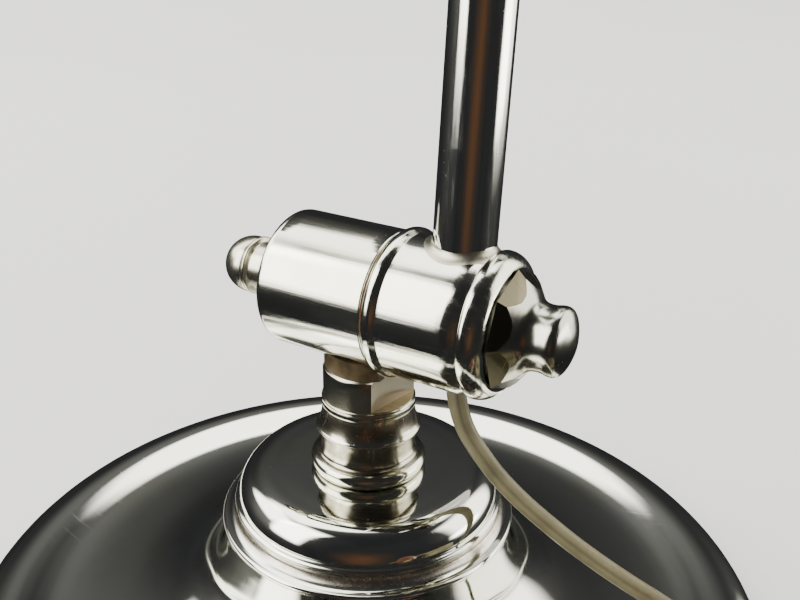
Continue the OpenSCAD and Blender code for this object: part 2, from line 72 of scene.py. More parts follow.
# ---------------------------------------------------------------- dimensions, mm
BZ = 82.4
AX = 20.9
LEAN = math.radians(3.9)
BEND = math.radians(160)
BEND_R = 55.0
STEM_H = 275.0
PIV = 34.0
NT = 52.0      # neck top
PZ = 52.4      # post underside
PT = 66.6      # post top
XL, XM, XA, XC, XK = -18.4, 6.8, 7.2, 27.4, 32.0

T = Matrix.Translation
def RX(a):
    return Matrix.Rotation(a, 4, "X")
def RY(a):
    return Matrix.Rotation(a, 4, "Y")
def RZ(a):
    return Matrix.Rotation(a, 4, "Z")
ROW = Matrix.Identity(4)
BARREL = T((0, 0, BZ)) @ RY(math.radians(90))
STEM = T((AX, 0, BZ)) @ RX(-LEAN)
NECK = STEM @ T((0, BEND_R, STEM_H)) @ RX(-BEND) @ T((0, -BEND_R, 0))
SHADE = NECK @ T((0, 0, PIV))

# ---------------------------------------------------------------- curves and meshes
def catmull(p, per):
    """Centripetal Catmull-Rom through p, per steps a span; a repeated point is a corner."""
    runs, run = [], [Vector(p[0])]
    for a, b in zip(p[:-1], p[1:]):
        if (Vector(a) - Vector(b)).length < 1e-7:
            runs.append(run)
            run = [Vector(b)]
        else:
            run.append(Vector(b))
    runs.append(run)
    out = []
    for q in runs:
        if len(q) == 1:
            out.append(q[0])
            continue
        e = [q[0] * 2 - q[1]] + q + [q[-1] * 2 - q[-2]]
        for i in range(1, len(e) - 2):
            p0, p1, p2, p3 = e[i - 1:i + 3]
            t0 = 0.0
            t1 = t0 + max((p1 - p0).length, 1e-9) ** 0.5
            t2 = t1 + max((p2 - p1).length, 1e-9) ** 0.5
            t3 = t2 + max((p3 - p2).length, 1e-9) ** 0.5
            for k in range(per):
                t = t1 + (t2 - t1) * k / per
                a1 = p0 * ((t1 - t) / (t1 - t0)) + p1 * ((t - t0) / (t1 - t0))
                a2 = p1 * ((t2 - t) / (t2 - t1)) + p2 * ((t - t1) / (t2 - t1))
                a3 = p2 * ((t3 - t) / (t3 - t2)) + p3 * ((t - t2) / (t3 - t2))
                b1 = a1 * ((t2 - t) / (t2 - t0)) + a2 * ((t - t0) / (t2 - t0))
                b2 = a2 * ((t3 - t) / (t3 - t1)) + a3 * ((t - t1) / (t3 - t1))
                out.append(b1 * ((t2 - t) / (t2 - t1)) + b2 * ((t - t1) / (t2 - t1)))
        out.append(q[-1])
    return out


def ell(cx, cy, rx, ry, a0, a1, n):
    return [(cx + rx * math.cos(math.radians(a0 + (a1 - a0) * i / n)),
             cy + ry * math.sin(math.radians(a0 + (a1 - a0) * i / n))) for i in range(n + 1)]


def mesh_obj(name, verts, faces, M, angle=38.0, smooth=True):
    me = bpy.data.meshes.new(name)
    me.from_pydata([tuple((M @ Vector(v)) * MM) for v in verts], [], faces)
    me.validate()
    bm = bmesh.new()
    bm.from_mesh(me)
    bmesh.ops.recalc_face_normals(bm, faces=bm.faces)
    bm.to_mesh(me)
    bm.free()
    if smooth:
        me.shade_smooth()
        me.set_sharp_from_angle(angle=math.radians(angle))
    ob = bpy.data.objects.new(name, me)
    sc.collection.objects.link(ob)
    return ob


def lathe(name, prof, M, seg=192, closed=True, angle=38.0, edit=None):
    """A surface turned about the local Z axis. prof is (radius, height); closed joins its ends."""
    prof = [(max(p[0], 0.0), p[1]) for p in prof]
    verts, rows = [], []
    for r, z in prof:
        if r < 1e-6:
            rows.append([len(verts)] * seg)
            verts.append((0.0, 0.0, z))
        else:
            rows.append(list(range(len(verts), len(verts) + seg)))
            for j in range(seg):
                a = 2 * math.pi * j / seg
                verts.append((r * math.cos(a), r * math.sin(a), z))
    faces = []
    pairs = list(zip(rows[:-1], rows[1:])) + ([(rows[-1], rows[0])] if closed else [])
    for a, b in pairs:
        for j in range(seg):
            k = (j + 1) % seg
            f = [a[j], a[k], b[k], b[j]]
            g = []
            for v in f:
                if v not in g:
                    g.append(v)
            if len(g) > 2:
                faces.append(g)
    if edit:
        verts = [edit(Vector(v)) for v in verts]
    return mesh_obj(name, verts, faces, M, angle)


def frames(path):
    """Parallel-transported frames along a path of Vectors."""
    n = len(path)
    tan = [(path[min(i + 1, n - 1)] - path[max(i - 1, 0)]).normalized() for i in range(n)]
    out, u = [], None
    for t in tan:
        if u is None:
            u = t.cross(Vector((0, -1, 0))).normalized()
        else:
            u = (u - t * u.dot(t)).normalized()
        out.append((t, u, t.cross(u).normalized()))
    return out


def tube(name, path, section, M=ROW, cap=True, angle=60.0):
    """section(k) gives the (u, v) offsets of the ring k of the path, mm."""
    verts, faces = [], []
    fr = frames(path)
    first = section(0)
    n = len(first)
    for i, (p, (t, u, v)) in enumerate(zip(path, fr)):
        for a, b in section(i):
            verts.append(tuple(p + u * a + v * b))
    for i in range(len(path) - 1):
        for j in range(n):
            k = (j + 1) % n
            faces.append([i * n + j, i * n + k, (i + 1) * n + k, (i + 1) * n + j])
    if cap:
        faces.append(list(range(n))[::-1])
        faces.append([(len(path) - 1) * n + j for j in range(n)])
    return mesh_obj(name, verts, faces, M, angle)


def cut(ob, tool, op="DIFFERENCE"):
    """Boolean of two meshes, applied."""
    mod = ob.modifiers.new("cut", "BOOLEAN")
    mod.operation = op
    mod.object = tool
    mod.solver = "EXACT"
    bpy.context.view_layer.update()
    dg = bpy.context.evaluated_depsgraph_get()
    me = bpy.data.meshes.new_from_object(ob.evaluated_get(dg))
    ob.modifiers.clear()
    old = ob.data
    ob.data = me
    bpy.data.meshes.remove(old)
    bpy.data.objects.remove(tool, do_unlink=True)
    return ob


def resharp(ob, angle):
    ob.data.shade_smooth()
    ob.data.set_sharp_from_angle(angle=math.radians(angle))
    return ob


def box_obj(name, lo, hi, M):
    x0, y0, z0 = lo
    x1, y1, z1 = hi
    v = [(x0, y0, z0), (x1, y0, z0), (x1, y1, z0), (x0, y1, z0), (x0, y0, z1), (x1, y0, z1), (x1, y1, z1), (x0, y1, z1)]
    f = [(0, 3, 2, 1), (4, 5, 6, 7), (0, 1, 5, 4), (1, 2, 6, 5), (2, 3, 7, 6), (3, 0, 4, 7)]
    return mesh_obj(name, v, f, M, smooth=False)


# ---------------------------------------------------------------- materials
def new_mat(name):
    mt = bpy.data.materials.new(name)
    mt.use_nodes = True
    nt = mt.node_tree
    nt.nodes.clear()
    out = nt.nodes.new("ShaderNodeOutputMaterial")
    bs = nt.nodes.new("ShaderNodeBsdfPrincipled")
    nt.links.new(bs.outputs[0], out.inputs[0])
    return mt, nt, bs


def nd(nt, kind, **kw):
    n = nt.nodes.new(kind)
    for k, v in kw.items():
        if k in n.inputs.keys() if hasattr(n.inputs, "keys") else False:
            n.inputs[k].default_value = v
        else:
            setattr(n, k, v)
    return n


def ramp(nt, src, stops):
    r = nt.nodes.new("ShaderNodeValToRGB")
    el = r.color_ramp.elements
    while len(el) > 1:
        el.remove(el[-1])
    el[0].position = stops[0][0]
    el[0].color = (*stops[0][1], 1) if len(stops[0][1]) == 3 else stops[0][1]
    for pos, col in stops[1:]:
        e = el.new(pos)
        e.color = (*col, 1) if len(col) == 3 else col
    nt.links.new(src, r.inputs[0])
    return r.outputs[0]


def g(v):
    return (v, v, v)


def coords(nt, scale=(1, 1, 1), rot=(0, 0, 0)):
    tc = nt.nodes.new("ShaderNodeTexCoord")
    mp = nt.nodes.new("ShaderNodeMapping")
    mp.inputs["Scale"].default_value = scale
    mp.inputs["Rotation"].default_value = rot
    nt.links.new(tc.outputs["Object"], mp.inputs["Vector"])
    return mp.outputs[0]


def noise(nt, vec, scale, detail=3.0, rough=0.5):
    n = nt.nodes.new("ShaderNodeTexNoise")
    n.inputs["Scale"].default_value = scale
    n.inputs["Detail"].default_value = detail
    n.inputs["Roughness"].default_value = rough
    nt.links.new(vec, n.inputs["Vector"])
    return n.outputs["Fac"]


def math_node(nt, op, a, b=None):
    n = nt.nodes.new("ShaderNodeMath")
    n.operation = op
    for i, x in enumerate((a, b)):
        if x is None:
            continue
        if isinstance(x, (int, float)):
            n.inputs[i].default_value = x
        else:
            nt.links.new(x, n.inputs[i])
    return n.outputs[0]


def mix(nt, fac, a, b):
    n = nt.nodes.new("ShaderNodeMix")
    n.data_type = "RGBA"
    for key, x in ((0, fac), (6, a), (7, b)):
        if isinstance(x, tuple):
            n.inputs[key].default_value = (*x, 1) if len(x) == 3 else x
        elif isinstance(x, (int, float)):
            n.inputs[key].default_value = x
        else:
            nt.links.new(x, n.inputs[key])
    return n.outputs[2]


def chrome(name, tint=(0.78, 0.785, 0.72), warm=(0.65, 0.60, 0.42), base_rough=0.045, satin=0.0, wear=1.0, dirt_and_shade=None, grime_and_shade_col=(0.27, 0.20, 0.11), grime_and_shade_rough=0.36, brush=None, brush_k=0.0):
    """Worn bright plating: hairline scratches, pits, specks, slight warm tarnish. satin adds turned-metal softness,
    the banded argument lists (z0, z1, strength) bands in metres, dulled and brownish: grime, and painted shade in the
    grooves and recesses."""
    mt, nt, bs = new_mat(name)
    bs.inputs["Metallic"].default_value = 1.0
    c0 = coords(nt)
    tar = ramp(nt, noise(nt, c0, 38, 4, 0.6), [(0.46, g(0.0)), (0.76, g(1.0))])
    col = mix(nt, math_node(nt, "MULTIPLY", tar, min(0.45 * wear, 1.0)), tint, warm)
    # pits: small dark specks, denser in patches
    vor = nt.nodes.new("ShaderNodeTexVoronoi")
    vor.inputs["Scale"].default_value = 700
    nt.links.new(c0, vor.inputs["Vector"])
    pit = ramp(nt, vor.outputs["Distance"], [(0.06, g(1.0)), (0.13, g(0.0))])
    patch = ramp(nt, noise(nt, c0, 90, 3, 0.6), [(0.55, g(0.0)), (0.66, g(1.0))])
    pits = math_node(nt, "MULTIPLY", math_node(nt, "MULTIPLY", pit, patch), 0.8 * wear)
    col = mix(nt, pits, col, (0.12, 0.10, 0.07))
    if dirt_and_shade:
        sep = nt.nodes.new("ShaderNodeSeparateXYZ")
        nt.links.new(c0, sep.inputs[0])
        band = None
        for z0, z1, k in dirt_and_shade:
            mr = nt.nodes.new("ShaderNodeMapRange")
            mr.interpolation_type = "SMOOTHSTEP"
            zc, zw = (z0 + z1) / 2, (z1 - z0) / 2
            d = math_node(nt, "ABSOLUTE", math_node(nt, "SUBTRACT", sep.outputs[2], zc))
            mr.inputs["From Min"].default_value = zw
            mr.inputs["From Max"].default_value = zw * 0.45
            mr.inputs["To Min"].default_value = 0.0
            mr.inputs["To Max"].default_value = k
            nt.links.new(d, mr.inputs["Value"])
            b = mr.outputs[0]
            band = b if band is None else math_node(nt, "MAXIMUM", band, b)
        # the bands darken and brown the plating: grime, and painted shade in the grooves and recesses
        grime_and_shade = math_node(nt, "MULTIPLY", band, ramp(nt, noise(nt, c0, 260, 5, 0.65), [(0.25, g(0.5)), (0.7, g(1.0))]))
        col = mix(nt, grime_and_shade, col, grime_and_shade_col)
    nt.links.new(col, bs.inputs["Base Color"])
    # roughness: haze, hairlines and specks
    r = math_node(nt, "MULTIPLY_ADD", noise(nt, c0, 55, 5, 0.6), 0.03 * wear + satin * 0.4)
    r.node.inputs[2].default_value = base_rough + satin
    hair = None
    for rot, sc_, k in (((0.3, 0.2, 0.5), (14, 1500, 90), 0.66), ((1.2, 0.7, 2.1), (18, 1300, 70), 0.67), ((2.1, 1.4, 0.2), (12, 1700, 80), 0.68)):
        h = ramp(nt, noise(nt, coords(nt, sc_, rot), 1.0, 2, 0.5), [(k, g(0.0)), (k + 0.04, g(1.0))])
        hair = h if hair is None else math_node(nt, "MAXIMUM", hair, h)
    r2 = math_node(nt, "MULTIPLY_ADD", hair, 0.045 * wear)
    nt.links.new(r, r2.node.inputs[2])
    r3 = math_node(nt, "MULTIPLY_ADD", pits, 0.4)
    nt.links.new(r2, r3.node.inputs[2])
    if dirt_and_shade:
        r4 = math_node(nt, "MULTIPLY_ADD", grime_and_shade, grime_and_shade_rough)
        nt.links.new(r3, r4.node.inputs[2])
        r3 = r4
    if brush:
        st = noise(nt, coords(nt, brush), 1.0, 4, 0.65)
        r5 = math_node(nt, "MULTIPLY_ADD", ramp(nt, st, [(0.50, g(0.0)), (0.66, g(1.0))]), 0.10)
        nt.links.new(r3, r5.node.inputs[2])
        r3 = r5
    nt.links.new(r3, bs.inputs["Roughness"])
    bump = nt.nodes.new("ShaderNodeBump")
    bump.inputs["Strength"].default_value = min(0.16 * wear, 1.0)
    bump.inputs["Distance"].default_value = 0.00002
    hsum = math_node(nt, "ADD", math_node(nt, "MULTIPLY", hair, 0.45), math_node(nt, "MULTIPLY", noise(nt, c0, 300, 3, 0.5), 0.6))
    hsum = math_node(nt, "SUBTRACT", hsum, math_node(nt, "MULTIPLY", pits, 1.6))
    if brush:
        hsum = math_node(nt, "ADD", hsum, math_node(nt, "MULTIPLY", st, brush_k))
    nt.links.new(hsum, bump.inputs["Height"])
    nt.links.new(bump.outputs[0], bs.inputs["Normal"])
    return mt


def metal(name, a, b, rough, scale=90, spec=None, bump_d=0.00004):
    mt, nt, bs = new_mat(name)
    bs.inputs["Metallic"].default_value = 1.0
    c0 = coords(nt)
    f = noise(nt, c0, scale, 5, 0.6)
    nt.links.new(ramp(nt, f, [(0.32, a), (0.68, b)]), bs.inputs["Base Color"])
    nt.links.new(ramp(nt, noise(nt, c0, scale * 3, 4, 0.6), [(0.3, g(max(rough - 0.08, 0.03))), (0.7, g(rough + 0.1))]), bs.inputs["Roughness"])
    bump = nt.nodes.new("ShaderNodeBump")
    bump.inputs["Strength"].default_value = 0.35
    bump.inputs["Distance"].default_value = bump_d
    nt.links.new(noise(nt, coords(nt, (40, 900, 40)), 1.0, 3, 0.5), bump.inputs["Height"])
    nt.links.new(bump.outputs[0], bs.inputs["Normal"])
    return mt


def plain(name, a, b, rough, scale=120, bump_scale=900, bump_d=0.00004, strength=0.4, metallic=0.0, coat=0.0, sheen=0.0):
    mt, nt, bs = new_mat(name)
    bs.inputs["Metallic"].default_value = metallic
    bs.inputs["Coat Weight"].default_value = coat
    bs.inputs["Sheen Weight"].default_value = sheen
    c0 = coords(nt)
    nt.links.new(ramp(nt, noise(nt, c0, scale, 4, 0.6), [(0.3, a), (0.7, b)]), bs.inputs["Base Color"])
    nt.links.new(ramp(nt, noise(nt, c0, scale * 2.3, 4, 0.6), [(0.3, g(max(rough - 0.06, 0.03))), (0.7, g(rough + 0.08))]), bs.inputs["Roughness"])
    bump = nt.nodes.new("ShaderNodeBump")
    bump.inputs["Strength"].default_value = strength
    bump.inputs["Distance"].default_value = bump_d
    nt.links.new(noise(nt, c0, bump_scale, 4, 0.6), bump.inputs["Height"])
    nt.links.new(bump.outputs[0], bs.inputs["Normal"])
    return mt


M_CHROME = chrome("chrome plate")
# the bands on the base, neck and post darken the base's step grooves, the neck's recess, and the post where it meets
# the collar and the barrel: grime, and painted shade there
M_BASE = chrome("chrome plate base", wear=0.8, dirt_and_shade=[(0.0316, 0.0341, 0.75), (0.0338, 0.0352, 0.35), (0.0415, 0.0422, 0.0)])
M_NECK = chrome("chrome plate neck", tint=(0.72, 0.715, 0.585), warm=(0.54, 0.46, 0.25), satin=0.03, wear=1.3, dirt_and_shade=[(0.0413, 0.0425, 0.9), (0.0452, 0.0470, 0.6), (0.0465, 0.0530, 0.9)], grime_and_shade_col=(0.105, 0.080, 0.042), grime_and_shade_rough=0.16)
M_POST = chrome("chrome plate post", tint=(0.69, 0.68, 0.57), warm=(0.53, 0.455, 0.26), satin=0.055, wear=1.4, dirt_and_shade=[(0.0515, 0.0521, 0.5), (0.0526, 0.0574, 0.9), (0.0654, 0.0672, 0.5)], grime_and_shade_col=(0.115, 0.088, 0.050), grime_and_shade_rough=0.18)
# the knob's plating is tinted darker than the rest: painted shade that dims its reflections
M_KNOB = chrome("chrome plate knob", tint=(0.46, 0.455, 0.385), warm=(0.37, 0.32, 0.20), satin=0.10, wear=1.3)
# the knob flats are tinted near black: painted shade standing in for the dark room they mirror, with the worn plate's
# pits and scratches on top
M_KNOBFLAT = chrome("knob flats with painted shade", tint=(0.165, 0.150, 0.098), warm=(0.125, 0.102, 0.055), satin=0.12, wear=1.5)
M_FOOT = chrome("brazed foot", tint=(0.50, 0.47, 0.37), warm=(0.38, 0.30, 0.17), satin=0.20, wear=1.4)
M_BARREL = chrome("chrome plate barrel", tint=(0.74, 0.745, 0.66), warm=(0.58, 0.53, 0.34), satin=0.015, wear=1.3, brush=(22, 1500, 1500), brush_k=5.0)
M_TUBE = chrome("chrome plate tube", satin=0.005, wear=1.1, brush=(1300, 1300, 14), brush_k=2.5)
M_NUT = chrome("chrome plate nut", tint=(0.64, 0.635, 0.53), warm=(0.50, 0.44, 0.27), satin=0.15, wear=1.3)
M_BRASS = metal("brass", (0.42, 0.30, 0.15), (0.66, 0.52, 0.30), 0.32)
M_LEDGE = plain("bare ledge", (0.10, 0.072, 0.030), (0.20, 0.150, 0.070), 0.34, scale=260, metallic=0.6, bump_scale=700, bump_d=0.00005)
M_FLAT = chrome("worn spanner flats", tint=(0.60, 0.555, 0.43), warm=(0.45, 0.36, 0.20), satin=0.20, wear=1.4)
M_SADDLE = plain("unplated brass saddle", (0.034, 0.023, 0.009), (0.120, 0.083, 0.035), 0.42, scale=260, metallic=0.5, bump_scale=700, bump_d=0.00008)
M_STEEL = metal("steel", (0.45, 0.45, 0.45), (0.62, 0.62, 0.61), 0.34)
M_IRON = plain("cast iron", (0.03, 0.03, 0.032), (0.09, 0.09, 0.095), 0.72, scale=60, bump_scale=420, bump_d=0.0003)
M_FELT = plain("felt", (0.035, 0.075, 0.045), (0.07, 0.12, 0.075), 0.95, scale=300, bump_scale=1500, bump_d=0.0003, sheen=0.4)
M_FIBRE = plain("fibre", (0.16, 0.06, 0.03), (0.25, 0.10, 0.05), 0.7)
M_BLACK = plain("black plastic", (0.012, 0.012, 0.013), (0.022, 0.022, 0.024), 0.3, coat=0.3)
M_BROWN = plain("brown plastic", (0.055, 0.018, 0.008), (0.10, 0.036, 0.016), 0.3, scale=70, coat=0.35)
M_PORC = plain("porcelain", (0.74, 0.72, 0.66), (0.80, 0.79, 0.73), 0.25, coat=0.6)
M_ENAMEL = plain("white enamel", (0.80, 0.79, 0.75), (0.86, 0.85, 0.82), 0.28, scale=30, coat=0.4, bump_scale=300)
M_GLASS = plain("opal glass", (0.86, 0.85, 0.82), (0.92, 0.915, 0.89), 0.22, scale=25, coat=0.5, bump_scale=250, bump_d=0.00003)

# the flex: two cores side by side under one tan skin, painted shade along its groove
def flex_mat():
    mt, nt, bs = new_mat("flex skin")
    at = nt.nodes.new("ShaderNodeAttribute")
    at.attribute_name = "groove"
    c0 = coords(nt)
    n1 = noise(nt, c0, 130, 5, 0.6)
    col = ramp(nt, n1, [(0.30, (0.086, 0.074, 0.034)), (0.52, (0.128, 0.112, 0.053)), (0.75, (0.166, 0.148, 0.076))])
    stain = ramp(nt, noise(nt, c0, 75, 4, 0.7), [(0.56, g(0.0)), (0.70, g(1.0))])
    col = mix(nt, math_node(nt, "MULTIPLY", stain, 0.45), col, (0.070, 0.045, 0.018))
    # painted shade: the groove between the two cores is darkened
    col = mix(nt, math_node(nt, "MULTIPLY", at.outputs["Fac"], 0.6), col, (0.050, 0.040, 0.020))
    nt.links.new(col, bs.inputs["Base Color"])
    nt.links.new(ramp(nt, noise(nt, c0, 300, 3, 0.5), [(0.3, g(0.42)), (0.7, g(0.58))]), bs.inputs["Roughness"])
    bump = nt.nodes.new("ShaderNodeBump")
    bump.inputs["Strength"].default_value = 0.5
    bump.inputs["Distance"].default_value = 0.00008
    nt.links.new(noise(nt, c0, 700, 4, 0.6), bump.inputs["Height"])
    nt.links.new(bump.outputs[0], bs.inputs["Normal"])
    return mt


M_FLEX = flex_mat()

# ---------------------------------------------------------------- the flex, first of the pieces
LEAD = [(20.9, 0, 67.4), (20.95, 0, 66.2), (21.3, 0, 64), (22, 0.2, 61), (23, 0.5, 58), (24.7, 0.9, 54.9), (27.2, 1.4, 51.5),
        (30.2, 2.0, 47.9), (33.5, 2.8, 44.6), (37, 3.6, 41.6), (40.7, 4.4, 38.9), (44.4, 5.3, 36.2), (49.2, 6.4, 33.1), (54, 7.5, 30.3),
        (58.9, 8.6, 27.7), (63.8, 9.7, 25.3), (73, 11.8, 20.5), (82, 13.7, 15.8), (89, 14.9, 12.2), (96, 15.4, 8.6),
        (103, 15.2, 5.4), (109, 14.6, 3.2), (116, 13.2, 2.3), (121, 12.5, 2.15)]
COIL = (126.0, -14.0)
COLS = (26.2, 22.0, 17.8)
LAYS_Z = (2.15, 6.2, 10.2, 14.2)
def coil_points():
    """Eleven turns in four layers: round, a step in or out near the end of each turn."""
    cols = []
    for layer in range(4):
        order = COLS if layer % 2 == 0 else COLS[::-1]
        cols += [(r, LAYS_Z[layer]) for r in order]
    out, n_turn, total = [], 72, 11.28
    steps = int(total * n_turn)
    for i in range(steps + 1):
        turn = i / n_turn
        k = min(int(turn), 11)
        f = turn - k
        r, z = cols[k]
        if k < 11 and f > 0.84:
            s = (f - 0.84) / 0.16
            s = s * s * (3 - 2 * s)
            r += (cols[k + 1][0] - r) * s
            z += (cols[k + 1][1] - z) * s
        a = math.radians(90) - 2 * math.pi * turn
        out.append((COIL[0] + r * math.cos(a), COIL[1] + r * math.sin(a), z))
    return out
TAIL = [(151.9, -25, 14.25), (151.1, -32, 14.3), (149.9, -39, 14.35), (148, -46, 14.4), (144.6, -52.6, 14.5),
        (139.4, -57.8, 14.5), (133.5, -60, 14.5), (130.6, -60.0, 14.5)]
SPLIT = 42.0   # mm of flex from the barrel to where the upper piece hands over to the lower one

whole = catmull(LEAD + coil_points() + TAIL, 3)
def resample(pts, step):
    out, need = [pts[0]], step
    acc = 0.0
    for a, b in zip(pts[:-1], pts[1:]):
        d = (b - a).length
        while acc + d >= need:
            out.append(a.lerp(b, (need - acc) / d))
            need += step
        acc += d
    if (out[-1] - pts[-1]).length > step * 0.3:
        out.append(pts[-1])
    else:
        out[-1] = pts[-1]
    return out, acc
line, total_len = resample(whole, 1.0)
G_AT = math.radians(52)


SEC = []
for j in range(40):
    SEC.append(2 * math.pi * j / 40)
def flex_ring():
    out = []
    for a in SEC:
        x, y = math.cos(a), math.sin(a)
        r = 1.0 / math.sqrt((x / 2.1) ** 2 + (y / 1.75) ** 2)
        for gg in (G_AT, G_AT + math.pi):
            d = math.atan2(math.sin(a - gg), math.cos(a - gg))
            r -= 0.24 * math.exp(-(d / 0.16) ** 2)
        out.append((r * x, r * y))
    return out
RING = flex_ring()
fr_all = frames(line)
def flex_piece(name, i0, i1):
    verts, faces, n = [], [], len(RING)
    for i in range(i0, i1 + 1):
        t, u, v = fr_all[i]
        for a, b in RING:
            verts.append(tuple(line[i] + u * a + v * b))
    k_ = i1 - i0 + 1
    for i in range(k_ - 1):
        for j in range(n):
            k = (j + 1) % n
            faces.append([i * n + j, i * n + k, (i + 1) * n + k, (i + 1) * n + j])
    faces.append(list(range(n))[::-1])
    faces.append([(k_ - 1) * n + j for j in range(n)])
    ob = mesh_obj(name, verts, faces, ROW, 70)
    # the groove mask: where the shade along the groove between the cores is painted
    at = ob.data.attributes.new("groove", "FLOAT", "POINT")
    vals = []
    for _ in range(k_):
        for a in SEC:
            s = 0.0
            for gg in (G_AT, G_AT + math.pi):
                d = math.atan2(math.sin(a - gg), math.cos(a - gg))
                s = max(s, math.exp(-(d / 0.22) ** 2))
            vals.append(s)
    at.data.foreach_set("value", vals)
    ob.data.materials.append(M_FLEX)
    return ob


i_split = int(SPLIT)
upper = flex_piece("flex_upper", 0, i_split)
lower = flex_piece("flex_lower", i_split, len(line) - 1)
[x * MM for x in line[1]]
[x * MM for x in line[i_split - 2]]
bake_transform(upper)
[x * MM for x in line[i_split + 1]]
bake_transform(lower)
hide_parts("cord_lead", "cord_coil", "cord_tail")
up_path = [[x * MM for x in p] for p in line[:i_split + 1]]
low_path = [[x * MM for x in p] for p in line[i_split:]]
def plen(p):
    return sum((Vector(a) - Vector(b)).length for a, b in zip(p[:-1], p[1:]))
print("flex length m", round(plen(up_path), 4), round(plen(low_path), 4), "rings", len(line))

# ---------------------------------------------------------------- pieces
def piece(ob, body, mat, slot, *replaced):
    for mt in (mat if isinstance(mat, (list, tuple)) else [mat]):
        ob.data.materials.append(mt)
    if replaced:
        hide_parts(*replaced)
    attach(ob, body)
    return ob


def smooth(p, per=6):
    return [(v[0], v[1]) for v in catmull([(x, y, 0) for x, y in p], per)]


# base shell: outside, then inside
outer = smooth([(5.1, 42), (12, 42), (20, 42.0), (24.2, 41.75), (26.3, 40.7), (27.9, 38.7), (28.65, 36.6), (28.8, 35.3), (28.8, 35.3),
                (29.15, 35.1), (29.5, 34.75), (29.5, 34.3), (29.2, 33.9), (29.2, 33.9), (29.35, 33.0), (29.9, 32.25), (30.8, 31.7), (31.5, 31.5), (31.5, 31.5),
                (32.1, 31.35), (32.4, 30.9), (32.38, 30.3), (32.1, 29.8), (32.1, 29.8),
                (32.05, 28.6), (32.15, 26.6), (32.6, 23.6), (33.5, 20.6), (35.0, 17.7), (37.2, 15.2), (40.2, 12.9), (44, 11.0),
                (48.6, 9.55), (54, 8.5), (60, 7.95), (66, 7.8), (70, 8.0), (72.8, 8.5), (75.2, 9.35), (77.4, 10.35), (79.6, 11.1), (82, 11.4),
                (84.2, 11.12), (86.2, 10.3), (87.9, 9.1), (89.2, 7.5), (89.85, 5.8), (90, 4.2), (89.6, 2.4), (88.7, 1.3), (87.6, 0.9)], 6)
inner = smooth([(87.6, 0.9), (87.6, 0.9), (86.9, 1.3), (87.6, 2.1), (88.4, 3.0), (88.8, 4.2), (88.7, 5.5), (88.0, 7.0), (86.8, 8.3), (85.2, 9.4), (82, 10.2), (77.9, 9.2),
                (73.2, 7.3), (65.5, 6.6), (53.4, 7.4), (43.5, 9.8), (36.7, 13.9), (32.7, 19), (31.1, 25), (30.9, 29.5), (28.3, 32.6), (27.8, 35.2),
                (25.8, 39.6), (24, 40.8), (24, 40.8), (5.1, 40.8)], 2)
base_shell = lathe("base_shell_v", outer + inner[1:], ROW, seg=300, angle=28)
piece(base_shell, "base", M_BASE, "chrome", "base_shell")

neck = lathe("neck_collar_v", smooth([(5.03, 42), (5.03, 42), (11.3, 42), (11.3, 42), (11.9, 42.2), (12.35, 42.7), (12.58, 43.35), (12.62, 44.1), (12.4, 44.8), (11.9, 45.35),
              (11.2, 45.68), (10.85, 45.78), (10.85, 45.78), (10.5, 46.15), (10.32, 47), (10.26, 48.5), (10.3, 50), (10.45, 51.2), (10.5, 52), (10.5, 52), (5.03, 52)], 6), ROW, seg=240, angle=30)
piece(neck, "base", M_NECK, "chrome", "neck_collar")


# post, with two spanner flats above the ledge
def post():
    prof = smooth([(10.75, PZ), (10.75, PZ), (10.75, PZ - 0.6), (10.75, PZ - 0.6), (11.0, PZ - 0.64), (11.24, PZ - 0.54), (11.36, PZ - 0.32), (11.37, PZ - 0.08), (11.27, PZ + 0.08), (11.27, PZ + 0.08),
                   (11.05, PZ + 0.35), (10.7, PZ + 1.0), (10.38, PZ + 2.0), (10.14, PZ + 3.1), (10.0, PZ + 4.2), (9.96, PZ + 4.9), (9.96, PZ + 4.9), (10.06, PZ + 5.02), (10.12, PZ + 5.25), (10.1, PZ + 5.5), (10.06, PZ + 5.7),
                   (10.05, PZ + 6.2), (10.09, PZ + 6.45), (10.1, PZ + 6.65), (10.02, PZ + 6.88), (9.86, PZ + 6.99), (9.75, PZ + 7.02), (9.75, PZ + 7.02), (9.75, PT - 0.55), (9.75, PT - 0.55), (9.68, PT - 0.38), (9.3, PT), (9.3, PT), (5.6, PT)], 5)
    o = lathe("swivel_post_v", prof + [(5.6, PT - 3), (9.6 - 3, PZ)], ROW, seg=240, angle=30)
    for a in (-10, 170):
        t = box_obj("tool", (7.0, -14, PZ + 7.25), (16, 14, PT + 4), RZ(math.radians(a)))
        cut(o, t)
    return resharp(o, 26)


po = post()
piece(po, "swivel", [M_POST, M_LEDGE, M_FLAT], "chrome", "swivel_post")
for pf in po.data.polygons:
    if pf.normal.z > 0.95 and abs(pf.center.z - (PZ + 7.25) * MM) < 0.0001:
        pf.material_index = 1
    elif pf.area > 4e-5 and abs(pf.normal.z) < 0.1:
        pf.material_index = 2


# tan saddle, coped to the barrel
def saddle():
    o = lathe("saddle_v", smooth([(8.0, PT), (8.0, PT), (9.2, PT), (9.38, PT + 0.08), (9.45, PT + 0.25), (9.45, PT + 0.25), (9.45, PT + 4.2), (9.45, PT + 4.2), (8.0, PT + 4.2), (8.0, PT + 4.2)], 3), ROW, seg=192, angle=35)
    cut(o, lathe("tool", [(0, -30), (14.42, -30), (14.42, 30), (0, 30)], BARREL, seg=240, closed=False))
    cut(o, box_obj("tool", (XM - 0.1, -20, PT - 1), (20, 20, PT + 9), ROW))
    return resharp(o, 35)


piece(saddle(), "swivel", M_SADDLE, "brass", "saddle_washer")

